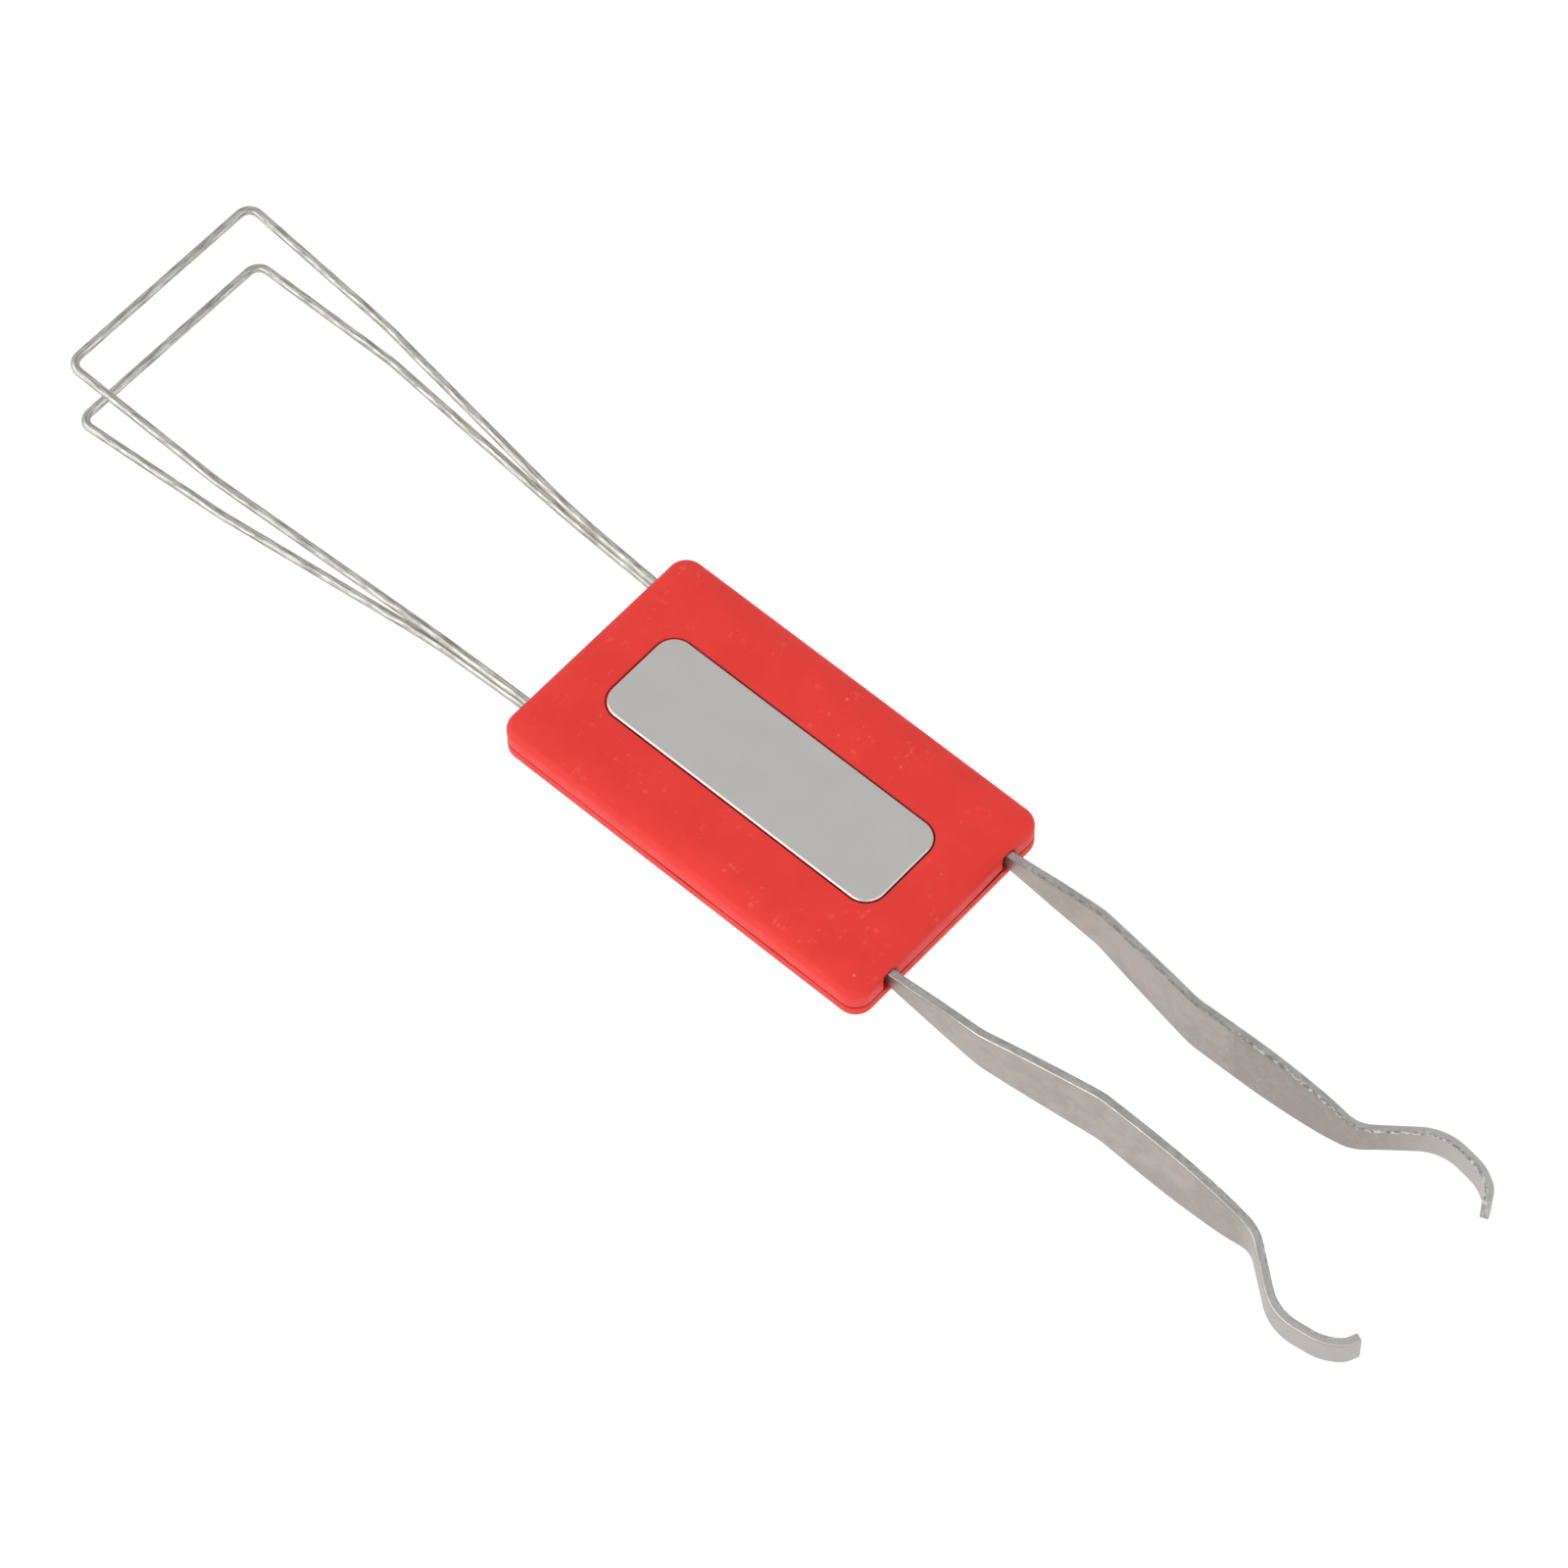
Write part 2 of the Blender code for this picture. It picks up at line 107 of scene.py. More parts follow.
RECESS_GAP = 0.13
RECESS_LIP = 0.1
RECESS_LIP_STEPS = 4
ARC_STEPS = 14
LONG_STEPS = 46
SHORT_STEPS = 28

# Name plate.
PLATE_RADIUS = 2.0
PLATE_EDGE = 0.15
PLATE_UNDER_EDGE = 0.05

# Openings of the end walls: width, low z, top z, flare, corner radius.
LEG_SLOT = (1.6, 0.95, 3.17, 0.03, 0.45)
LEG_SLOT_SHIFT = -0.2
WIRE_SLOT = (1.15, 0.92, 3.14, 0.08, 0.45)
SLOT_DEPTH = 2.4
SLOT_OVERSHOOT = 1.0
SLOT_EDGE_REACH = 0.013
SLOT_ARC_STEPS = 6

# Inner features, which join the shells with an overlap: pins above, sockets and blocks below.
JOIN_OVERLAP = 0.2
PIN_PLACES = ((-15.0, 0.0), (14.5, 0.0), (-3.0, 8.0), (-3.0, -8.0))
PIN_RADIUS = 0.7
PIN_FOOT_Z = 1.3
SOCKET_RADIUS = 1.0
SOCKET_OUTER_RADIUS = 1.7
SOCKET_TOP_Z = 2.5
WIRE_BLOCK = (-18.4, -12.2, 5.4, 7.2)
SADDLE = (7.3, 11.3, -4.3, 4.3)
BLOCK_TOP_Z = 2.8

# Spring wire: plan places and rises of the ease and the bend between the handle and the bar.
WIRE_RADIUS = 0.4
WIRE_SIDES = 20
WIRE_END_SHARE = 0.85
WIRE_STEP = 0.22
WIRE_ARC_DEGREES = 4.0
EASE_X, EASE_Y = -31.0, 8.53
BEND_X, BEND_Y = -55.4, 10.9
UPPER_RISES = (1.0, 3.85)
LOWER_RISES = (-0.4, -1.65)
EASE_RADIUS = 90.0
BEND_RADIUS = 22.0
BAR_CORNER_RADIUS = 1.2

# Steel strip: plan of a leg after its root, with a radius at each bend, and the blank's
# half height along the leg.
STRIP_THICKNESS = 0.8
LEG_PLAN = ((30.8, 7.77), (42.6, 6.0), (59.55, 6.42), (65.35, 11.1), (69.8, 10.5), (71.5, 9.45),
            (72.03, 8.2))
LEG_BEND_RADII = (9.0, 9.0, 3.5, 5.0, 4.5, 3.0)
LEG_ARC_DEGREES = 3.0
BURR_SHARES = {"left": 1.0, "right": 0.3}
LEG_HALF_HEIGHTS = ((18.0, 0.85), (20.7, 0.98), (26.5, 1.99), (32.5, 2.82), (38.5, 3.36),
                    (44.5, 3.62), (50.5, 3.64), (56.0, 2.95), (60.3, 1.68), (62.5, 1.55),
                    (74.0, 1.55))
ROLLED_RADIUS = 0.17
BURR_RADIUS = 0.06
FACE_HOLD = 0.07
FACE_STEPS = 8
CUT_STEPS = 5
ROLLED_STEPS = 5
BURR_STEPS = 2
END_ROUND = 0.1
STATION_STEP = 0.3

# Unevenness of the die-cut edges: how far they sit down, how much that varies, how far the
# burrs rise and fall, and how far they lean.
CUT_SINK = 0.025
CUT_TEAR = 0.02
BURR_NICK = 0.025
BURR_LEAN = 0.02

# Stage: the floor lies below the lower loop's full swing. Its reach is in metres.
FLOOR_DROP = 8.5
FLOOR_REACH = 3.0
FLOOR_GREY = 0.08
FLOOR_GLOW = 1.02
SKY_STRENGTH = 0.80
KEY_WATTS = 15.8
FILL_WATTS = 4.8


def in_mm(node):
    """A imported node's lowest and highest corners, in millimetres."""
    low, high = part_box(node)
    return low / MM, high / MM


plate_low, plate_high = in_mm("name_plate")
bridge_low, bridge_high = in_mm("spring_bridge")
HALF_X, HALF_Y, TOP_Z = in_mm("upper_shell")[1]
MID_Z = TOP_Z / 2
LEG_EXIT_Y = bridge_high.y - STRIP_THICKNESS / 2
WIRE_EXIT_Y = in_mm("upper_wire_tail_left")[1].y - WIRE_RADIUS
STRIP_Z = (bridge_low.z + bridge_high.z) / 2


# ---------------------------------------------------------------- meshes

def add_piece(name, points, faces, material):
    """A smooth-shaded object from points in millimetres, with its faces turned outwards."""
    bm = bmesh.new()
    verts = [bm.verts.new(Vector(p) * MM) for p in points]
    for face in faces:
        bm.faces.new([verts[i] for i in face])
    bmesh.ops.recalc_face_normals(bm, faces=bm.faces)
    mesh = bpy.data.meshes.new(name)
    bm.to_mesh(mesh)
    bm.free()
    mesh.shade_smooth()
    mesh.set_sharp_from_angle(angle=math.radians(SHARP_DEGREES))
    if material:
        mesh.materials.append(material)
    obj = bpy.data.objects.new(name, mesh)
    bpy.context.scene.collection.objects.link(obj)
    return obj


def add_loft(name, rings, material):
    """A closed skin through rings of equal point count, with a flat face at each end."""
    count = len(rings[0])
    points = [p for ring in rings for p in ring]
    faces = []
    for r in range(len(rings) - 1):
        a, b = r * count, (r + 1) * count
        for i in range(count):
            j = (i + 1) % count
            faces.append((a + i, a + j, b + j, b + i))
    faces.append(tuple(range(count)))
    faces.append(tuple(range(len(points) - count, len(points))))
    return add_piece(name, points, faces, material)


def put_values(obj, name, values):
    """Stores one number per point for the material to read."""
    attribute = obj.data.attributes.new(name, "FLOAT", "POINT")
    attribute.data.foreach_set("value", values)


def rounded_ring(half_x, half_y, radius, height):
    """A rounded rectangle; height is a number or a function of x and y."""
    corners = ((1, 1), (-1, 1), (-1, -1), (1, -1))
    arcs = []
    for k, (sx, sy) in enumerate(corners):
        middle = Vector((sx * (half_x - radius), sy * (half_y - radius)))
        arcs.append([middle + radius * Vector((math.cos(a), math.sin(a)))
                     for a in (math.pi / 2 * (k + i / ARC_STEPS) for i in range(ARC_STEPS + 1))])
    ring = []
    for k, arc in enumerate(arcs):
        ring += arc
        steps = LONG_STEPS if k % 2 == 0 else SHORT_STEPS
        start, end = arc[-1], arcs[(k + 1) % 4][0]
        ring += [start.lerp(end, i / steps) for i in range(1, steps)]
    return [(p.x, p.y, height(p.x, p.y) if callable(height) else height) for p in ring]


def rounded_path(points, radii, arc_step):
    """Rounds the inner corners of a chain of points in space."""
    points = [Vector(p).to_3d() if len(p) == 2 else Vector(p) for p in points]
    path = [points[0]]
    for before, corner, after, radius in zip(points, points[1:], points[2:], radii):
        to_before = (before - corner).normalized()
        to_after = (after - corner).normalized()
        half = to_before.angle(to_after) / 2
        reach = min(radius / math.tan(half), 0.48 * (before - corner).length,
                    0.48 * (after - corner).length)
        true_radius = reach * math.tan(half)
        centre = corner + (to_before + to_after).normalized() * (true_radius / math.sin(half))
        start = corner + to_before * reach - centre
        turn = math.pi - 2 * half
        axis = start.cross(corner + to_after * reach - centre).normalized()
        side = axis.cross(start)
        steps = max(4, math.ceil(turn / arc_step))
        for i in range(steps + 1):
            angle = turn * i / steps
            path.append(centre + start * math.cos(angle) + side * math.sin(angle))
    path.append(points[-1])
    return path


def resampled(path, step):
    """Points a fixed arc length apart along a path, and their arc lengths."""
    lengths = [0.0]
    for a, b in zip(path, path[1:]):
        lengths.append(lengths[-1] + (b - a).length)
    count = max(2, round(lengths[-1] / step))
    points, stations, k = [], [], 0
    for i in range(count + 1):
        s = lengths[-1] * i / count
        while k < len(path) - 2 and lengths[k + 1] < s:
            k += 1
        share = (s - lengths[k]) / max(lengths[k + 1] - lengths[k], 1e-9)
        points.append(path[k].lerp(path[k + 1], share))
        stations.append(s)
    return points, stations


def tangents(points):
    """The direction of travel at each point of a path."""
    last = len(points) - 1
    return [(points[min(i + 1, last)] - points[max(i - 1, 0)]).normalized()
            for i in range(len(points))]


def add_tube(name, path, radius, step, material):
    """A round wire along a path, with slightly smaller ends.

    Its arc length and the place round its section are stored for the material.
    """
    points, stations = resampled(path, step)
    directions = tangents(points)
    across = directions[0].orthogonal().normalized()
    angles = [2 * math.pi * j / WIRE_SIDES for j in range(WIRE_SIDES)]
    rings, along = [], []
    for i, (point, direction) in enumerate(zip(points, directions)):
        across = (across - direction * across.dot(direction)).normalized()
        other = direction.cross(across)
        size = radius * (WIRE_END_SHARE if i in (0, len(points) - 1) else 1.0)
        rings.append([point + (across * math.cos(a) + other * math.sin(a)) * size
                      for a in angles])
        along += [stations[i]] * WIRE_SIDES
    obj = add_loft(name, rings, material)
    put_values(obj, "wire_along", along)
    put_values(obj, "wire_across", [math.cos(a) for a in angles] * len(rings))
    put_values(obj, "wire_up", [math.sin(a) for a in angles] * len(rings))
    return obj


def guide_box(low, high):
    """A plain block used only to join."""
    (x0, y0, z0), (x1, y1, z1) = low, high
    rings = [[(x0, y0, z), (x1, y0, z), (x1, y1, z), (x0, y1, z)] for z in (z0, z1)]
    return add_loft("guide", rings, None)


def round_plan(x, y, radius):
    """Points round a circle in plan."""
    return [(x + radius * math.cos(a), y + radius * math.sin(a))
            for a in (2 * math.pi * i / GUIDE_SIDES for i in range(GUIDE_SIDES))]


def guide_post(x, y, radius, z0, z1):
    """An upright round post used only to join."""
    rings = [[(px, py, z) for px, py in round_plan(x, y, radius)] for z in (z0, z1)]
    return add_loft("guide", rings, None)


def guide_sleeve(x, y, inner, outer, z0, z1):
    """An upright round sleeve, closed on all sides, used only to join."""
    points = []
    for (ix, iy), (ox, oy) in zip(round_plan(x, y, inner), round_plan(x, y, outer)):
        points += [(ix, iy, z0), (ox, oy, z0), (ox, oy, z1), (ix, iy, z1)]
    faces = []
    for i in range(GUIDE_SIDES):
        here, there = 4 * i, 4 * ((i + 1) % GUIDE_SIDES)
        for k in range(4):
            j = (k + 1) % 4
            faces.append((here + k, here + j, there + j, there + k))
    return add_piece("guide", points, faces, None)


def guide_mouth(face_x, middle_y, width, z0, z1, mouth_flare, corner):
    """A rounded slot through an end wall that flares a little towards the outside.

    None of its rings lies in the wall's own plane, which keeps the cut clean.
    """
    outwards = math.copysign(1.0, face_x)
    rings = []
    for reach, flare in ((-SLOT_DEPTH, 0.0), (-mouth_flare * 1.5, 0.0),
                         (SLOT_EDGE_REACH, mouth_flare), (SLOT_OVERSHOOT, mouth_flare * 2)):
        half_y = width / 2 + flare
        half_z = (z1 - z0) / 2 + flare
        radius = corner + flare
        ring = []
        for k, (sy, sz) in enumerate(((1, 1), (-1, 1), (-1, -1), (1, -1))):
            for i in range(SLOT_ARC_STEPS + 1):
                angle = math.pi / 2 * (k + i / SLOT_ARC_STEPS)
                ring.append((face_x + outwards * reach,
                             middle_y + sy * (half_y - radius) + radius * math.cos(angle),
                             (z0 + z1) / 2 + sz * (half_z - radius) + radius * math.sin(angle)))
        rings.append(ring)
    return add_loft("guide", rings, None)


def combine(target, guide, operation):
    """Joins or cuts a piece with a guide, and removes the guide."""
    modifier = target.modifiers.new("combine", "BOOLEAN")
    modifier.operation = operation
    modifier.object = guide
    modifier.solver = "EXACT"
    depsgraph = bpy.context.evaluated_depsgraph_get()
    mesh = bpy.data.meshes.new_from_object(target.evaluated_get(depsgraph))
    target.modifiers.clear()
    target.data = mesh
    bpy.data.objects.remove(guide, do_unlink=True)


# ---------------------------------------------------------------- materials

class Finish:
    """A material's shader, with short calls that add and join its nodes."""

    def __init__(self, name, **constants):
        self.material = bpy.data.materials.new(name)
        self.material.use_nodes = True
        self.tree = self.material.node_tree
        self.shader = self.tree.nodes["Principled BSDF"]
        for key, value in constants.items():
            self.shader.inputs[key.replace("_", " ")].default_value = value
        coordinates = self.tree.nodes.new("ShaderNodeTexCoord")
        self.place = self.stretch(coordinates.outputs["Object"], 1 / MM, 1 / MM, 1 / MM)

    def make(self, kind, inputs, output=0, **settings):
        """Adds a node and returns one output; an input is a socket to link or a value to set."""
        node = self.tree.nodes.new(kind)
        for key, value in settings.items():
            setattr(node, key, value)
        for key, value in inputs.items():
            if isinstance(value, bpy.types.NodeSocket):
                self.tree.links.new(value, node.inputs[key])
            else:
                node.inputs[key].default_value = value
        return node.outputs[output]

    def set(self, key, socket):
        self.tree.links.new(socket, self.shader.inputs[key])

    def stretch(self, vector, x, y, z):
        return self.make("ShaderNodeMapping", {"Vector": vector, "Scale": (x, y, z)})

    def stored(self, name):
        return self.make("ShaderNodeAttribute", {}, "Fac", attribute_name=name)

    def noise(self, scale, detail=2.0, rough=0.5, vector=None, warp=0.0, output="Fac"):
        """Noise with about `scale` features per millimetre."""
        return self.make("ShaderNodeTexNoise", {
            "Vector": vector or self.place, "Scale": scale, "Detail": detail,
            "Roughness": rough, "Distortion": warp}, output)

    def cells(self, scale, vector=None, output="Distance"):
        return self.make("ShaderNodeTexVoronoi", {
            "Vector": vector or self.place, "Scale": scale}, output)

    def math(self, operation, a, b=0.0):
        return self.make("ShaderNodeMath", {0: a, 1: b}, operation=operation)

    def times(self, *values):
        product = values[0]
        for value in values[1:]:
            product = self.math("MULTIPLY", product, value)
        return product

    def remap(self, value, low, high, to_low=0.0, to_high=1.0):
        return self.make("ShaderNodeMapRange", {
            "Value": value, "From Min": low, "From Max": high, "To Min": to_low,
            "To Max": to_high}, interpolation_type="SMOOTHSTEP")

    def mix(self, factor, a, b, blend="MIX"):
        colours = {6: a if isinstance(a, bpy.types.NodeSocket) else (*a, 1.0),
                   7: b if isinstance(b, bpy.types.NodeSocket) else (*b, 1.0)}
        return self.make("ShaderNodeMix", {0: factor, **colours}, 2, data_type="RGBA",
                         blend_type=blend)

    def part_of(self, vector, axis):
        return self.make("ShaderNodeSeparateXYZ", {0: vector}, axis)

    def bump(self, height, depth_mm, normal=None):
        inputs = {"Height": height, "Distance": depth_mm * MM, "Strength": 1.0}
        if normal:
            inputs["Normal"] = normal
        return self.make("ShaderNodeBump", inputs)


def red_plastic():
    """Satin red moulding with faint mottling, raised lint specks and clusters of soft scuffs."""
    f = Finish("red_plastic", IOR=1.46, Specular_IOR_Level=0.36)
    mottle = f.noise(0.22, 3.0, 0.55)
    colour = f.mix(f.remap(mottle, 0.3, 0.7), (0.705, 0.0300, 0.0225), (0.760, 0.0345, 0.0270))

    warped = f.mix(0.06, f.place, f.noise(2.2, 2.0, output="Color"), "ADD")
    ragged = f.mix(0.9, f.place, f.noise(1.6, 3.0, 0.6, output="Color"), "ADD")
    crowd = f.remap(f.noise(0.14, 2.0), 0.40, 0.60, 0.15, 1.0)

    def specks(scale, radius, share, vector=warped):
        distance = f.cells(scale, vector)
        chosen = f.math("LESS_THAN", f.part_of(f.cells(scale, vector, "Color"), "X"), share)
        return f.times(f.remap(distance, radius * scale, 0.25 * radius * scale), chosen)

    lint = f.math("MAXIMUM", specks(0.95, 0.13, 0.24), specks(0.48, 0.20, 0.26))
    lint = f.times(lint, crowd)
    patches = f.remap(f.noise(0.42, 2.0, 0.5), 0.50, 0.64)
    scuffs = f.math("MAXIMUM", specks(1.7, 0.28, 0.4, ragged), specks(1.0, 0.40, 0.18, ragged))
    scuffs = f.times(scuffs, patches, crowd)
    marks = f.math("MAXIMUM", lint, f.times(scuffs, 0.35))
    colour = f.mix(f.times(marks, 0.8), colour, (0.93, 0.175, 0.150))

    # The two rims of the parting gap, which face up and down, lie in shade.
    level = f.part_of(f.place, "Z")
    facing = f.part_of(f.make("ShaderNodeNewGeometry", {}, "Normal"), "Z")
    rims = f.times(f.remap(f.math("ABSOLUTE", facing), 0.3, 0.7),
                   f.math("GREATER_THAN", level, PARTING_Z - 0.2),
                   f.math("LESS_THAN", level, PARTING_Z + 0.6))
    f.set("Base Color", f.mix(f.times(rims, 0.75), colour, (0.20, 0.007, 0.005)))

    f.set("Roughness", f.remap(f.noise(0.8, 3.0), 0.3, 0.7, 0.50, 0.60))

    sag = f.bump(f.noise(0.16, 2.0), 0.14)
    grained = f.bump(f.noise(4.0, 3.0, 0.6), 0.006, sag)
    f.set("Normal", f.bump(marks, 0.06, grained))
    return f.material


def satin_plate():
    """Thin satin-brushed metal: a very fine lengthwise grain, slight clouding, a burnished rim."""
    f = Finish("satin_plate", Metallic=1.0, Roughness=0.42, Specular_Tint=(0.3, 0.3, 0.3, 1.0))
    rim = f.stored("burnished")
    cloud = f.noise(0.28, 3.0, 0.5)
    colour = f.mix(f.remap(cloud, 0.3, 0.7), (0.570, 0.560, 0.534), (0.597, 0.580, 0.557))
    hairs = f.noise(1.0, 3.0, 0.6, f.stretch(f.place, 0.8, 11.0, 11.0))
    colour = f.mix(f.remap(hairs, 0.3, 0.75, 0.0, 0.16), colour, (0.55, 0.54, 0.51))
    speckle = f.noise(7.0, 2.0, 0.6)
    colour = f.mix(f.remap(speckle, 0.55, 0.8, 0.0, 0.25), colour, (0.66, 0.645, 0.62))
    f.set("Base Color", f.mix(rim, colour, (0.62, 0.565, 0.54)))
    brushed = f.remap(hairs, 0.25, 0.75, 0.38, 0.46)
    f.set("Roughness", f.make("ShaderNodeMix", {0: rim, 2: brushed, 3: 0.34}))
    f.set("Normal", f.bump(speckle, 0.003, f.bump(hairs, 0.0025)))
    return f.material


def spring_wire():
    """Drawn wire: lustreless grey, with draw lines, painted shade and highlights along it, and
    patches of tarnish.
    """
    f = Finish("spring_wire", Metallic=1.0, Roughness=0.38, Specular_Tint=(0.3, 0.3, 0.28, 1.0))
    along = f.stored("wire_along")
    run = f.make("ShaderNodeCombineXYZ", {
        0: along, 1: f.stored("wire_across"), 2: f.stored("wire_up")})
    lines = f.noise(1.0, 3.0, 0.6, f.stretch(run, 0.5, 2.2, 2.2))
    tarnish = f.noise(0.35, 4.0, 0.6)
    colour = f.mix(f.remap(tarnish, 0.35, 0.7), (0.52, 0.505, 0.465), (0.445, 0.432, 0.392))
    # Dark streaks are partly draw lines and partly painted shade; bright streaks are painted
    # highlights.
    colour = f.mix(f.remap(lines, 0.50, 0.62, 0.0, 0.75), colour, (0.22, 0.212, 0.185))
    colour = f.mix(f.remap(lines, 0.46, 0.36, 0.0, 0.75), colour, (0.76, 0.75, 0.71))
    f.set("Base Color", colour)
    chatter = f.make("ShaderNodeTexNoise", {"W": along, "Scale": 1.6, "Detail": 3.0},
                     noise_dimensions="1D")
    f.set("Roughness", f.remap(chatter, 0.3, 0.7, 0.32, 0.42))
    f.set("Normal", f.bump(lines, 0.006))
    return f.material


def strip_steel():
    """Rolled strip: warm, softly mottled faces; cooler torn die-cut edges; painted highlights and
    shade.
    """
    f = Finish("strip_steel", Metallic=1.0)
    cut = f.stored("cut_edge")
    burr = f.stored("burr_side")
    rolled = f.stored("rolled_corner")
    under = f.stored("under_side")
    along = f.stored("strip_along")
    x = f.part_of(f.place, "X")
    y = f.part_of(f.place, "Y")
    across = f.stored("strip_across")
    run = f.make("ShaderNodeCombineXYZ", {0: along, 1: across, 2: f.part_of(f.place, "Z")})
    left = f.math("GREATER_THAN", y, 0.0)

    # Faces: mottled, with faint olive and pink tints, smudges and fine lines along the strip.
    mottle = f.noise(0.5, 5.0, 0.68, warp=0.5)
    face = f.mix(f.remap(mottle, 0.32, 0.68), (0.350, 0.315, 0.287), (0.452, 0.402, 0.370))
    tint = f.noise(0.33, 3.0, 0.6)
    face = f.mix(f.remap(tint, 0.48, 0.68, 0.0, 0.55), face, (0.395, 0.392, 0.345))
    face = f.mix(f.remap(tint, 0.46, 0.30, 0.0, 0.55), face, (0.440, 0.385, 0.378))
    scratched = f.noise(1.3, 5.0, 0.7, warp=0.8)
    smudge = f.times(f.remap(f.noise(0.12, 2.0, 0.5), 0.50, 0.60),
                     f.remap(scratched, 0.35, 0.6, 0.3, 1.0))
    face = f.mix(f.times(smudge, 0.6), face, (0.315, 0.285, 0.255))
    fine = f.noise(1.0, 3.0, 0.6, f.stretch(run, 1.2, 9.0, 9.0))
    face = f.mix(f.remap(fine, 0.45, 0.8, 0.0, 0.2), face, (0.36, 0.335, 0.31))

    # The left leg is darker before its hook, painted shade where its face turns from the light,
    # broken up by the scratch noise. Both hooks are paler.
    ragged_x = f.math("ADD", x, f.remap(scratched, 0.3, 0.7, -0.8, 0.8))
    painted_shade_before_hook = f.times(f.remap(ragged_x, 46.0, 47.0), f.remap(x, 67.0, 61.0),
                   left, f.remap(scratched, 0.65, 0.4, 0.5, 1.0))
    face = f.mix(f.times(painted_shade_before_hook, 0.7), face, (0.290, 0.250, 0.228))
    face = f.mix(f.remap(x, 60.0, 68.0, 0.0, 0.7), face, (0.475, 0.452, 0.430))

    # Die-cut edges: torn lengthwise, with painted highlight streaks, and paler towards the hooks.
    torn = f.noise(1.0, 4.0, 0.6, f.stretch(run, 0.8, 1.9, 1.0), warp=0.3)
    edge = f.mix(f.remap(torn, 0.36, 0.64), (0.375, 0.365, 0.35), (0.47, 0.46, 0.44))
    painted_glints = f.remap(f.noise(1.0, 3.0, 0.6, f.stretch(run, 1.6, 3.0, 1.0)), 0.60, 0.76)
    edge = f.mix(f.times(painted_glints, 0.5), edge, (0.70, 0.69, 0.67))
    edge = f.mix(f.remap(x, 55.0, 66.0, 0.0, 0.55), edge, (0.56, 0.55, 0.53))
    colour = f.mix(cut, face, edge)

    # Burrs and the inner half of each cut edge break into dark and bright dashes. The bright
    # ones are painted highlights, stronger on the outer part of the leg.
    dashes = f.noise(1.0, 3.0, 0.65, f.stretch(run, 1.7, 1.0, 1.0))
    painted_highlight_stretch = f.remap(x, 46.0, 50.0, 0.1, 0.9)
    colour = f.mix(f.times(burr, f.remap(dashes, 0.56, 0.44), 0.55), colour, (0.27, 0.26, 0.245))
    colour = f.mix(f.times(burr, f.remap(dashes, 0.50, 0.58), painted_highlight_stretch), colour,
                   (0.76, 0.75, 0.73))
    torn_half = f.times(cut, f.remap(across, 0.02, -0.26), f.remap(left, 0.0, 1.0, 0.35, 1.0))
    flecks = f.noise(1.0, 3.0, 0.7, f.stretch(run, 1.9, 3.4, 1.0))
    colour = f.mix(f.times(torn_half, f.remap(flecks, 0.52, 0.42), 0.7), colour,
                   (0.215, 0.205, 0.19))
    colour = f.mix(f.times(torn_half, f.remap(flecks, 0.54, 0.62), painted_highlight_stretch), colour,
                   (0.76, 0.75, 0.73))

    # Rolled corners: darker beside the face; beside the cut edge, a painted highlight.
    broken = f.remap(f.noise(0.6, 3.0, 0.6), 0.36, 0.52, 0.45, 1.0)
    darker_by_face = f.times(rolled, broken, f.remap(cut, 0.75, 0.25))
    colour = f.mix(f.times(darker_by_face, 0.8), colour, (0.205, 0.175, 0.145))
    painted_corner_highlight = f.times(rolled, broken, f.remap(cut, 0.30, 0.62), f.remap(x, 27.0, 31.0))
    painted_corner_highlight = f.times(painted_corner_highlight, f.remap(x, 44.0, 50.0, 0.9, 0.45))
    colour = f.mix(painted_corner_highlight, colour, (0.80, 0.77, 0.74))
    # Painted shade on the underside of the strip.
    colour = f.mix(f.times(under, 0.6), colour, (0.22, 0.215, 0.205))
    f.set("Base Color", colour)

    face_rough = f.remap(mottle, 0.3, 0.7, 0.38, 0.48)
    edge_rough = f.remap(torn, 0.35, 0.65, 0.55, 0.38)
    f.set("Roughness", f.make("ShaderNodeMix", {0: cut, 2: face_rough, 3: edge_rough}))

    relief = f.bump(fine, 0.004, f.bump(mottle, 0.03))
    tearing = f.times(torn, f.math("MAXIMUM", cut, burr))
    f.set("Normal", f.bump(tearing, 0.05, relief))
    return f.material


def inner_steel():
    """The bridge inside the handle: plain rolled strip with fine lengthwise lines."""
    f = Finish("inner_steel", Metallic=1.0, Roughness=0.4)
    lines = f.noise(1.0, 3.0, 0.6, f.stretch(f.place, 1.2, 1.2, 8.0))
    f.set("Base Color", f.mix(f.remap(lines, 0.3, 0.7), (0.40, 0.38, 0.36), (0.50, 0.47, 0.45)))
    f.set("Roughness", f.remap(lines, 0.3, 0.7, 0.34, 0.46))
    f.set("Normal", f.bump(lines, 0.006))
    return f.material


def adhesive_film():
    """Milky double-sided film with small trapped bubbles."""
    f = Finish("adhesive_film", Roughness=0.6)
    bubbles = f.remap(f.cells(1.4), 0.12, 0.3)
    f.set("Base Color", f.mix(bubbles, (0.62, 0.61, 0.57), (0.76, 0.75, 0.71)))
    f.set("Normal", f.bump(bubbles, 0.01))
    return f.material


# ---------------------------------------------------------------- handle

def near_leg(x, y):
    """1 beside a leg's slot in the end wall, falling to 0 towards the middle of the wall."""
    if x < HALF_X - WALL - CORNER_RADIUS:
        return 0.0
    inwards = (LEG_EXIT_Y - abs(y)) / PARTING_SPREAD_REACH
    return math.exp(-inwards * inwards * (1 if inwards > 0 else 9))


def parting_gap(x, y):
    """The height of the parting gap, which wanders along the walls."""
    wander = noise.noise(Vector((x, y, WANDER_PLANE)) * WANDER_SCALE)
    return max(PARTING_LEAST_GAP, PARTING_GAP + PARTING_WANDER * 2 * wander)


def parting_spread(x, y):
    """How much further the upper shell's rim lifts beside the leg slots."""
    return PARTING_SPREADS["left" if y > 0 else "right"] * near_leg(x, y)


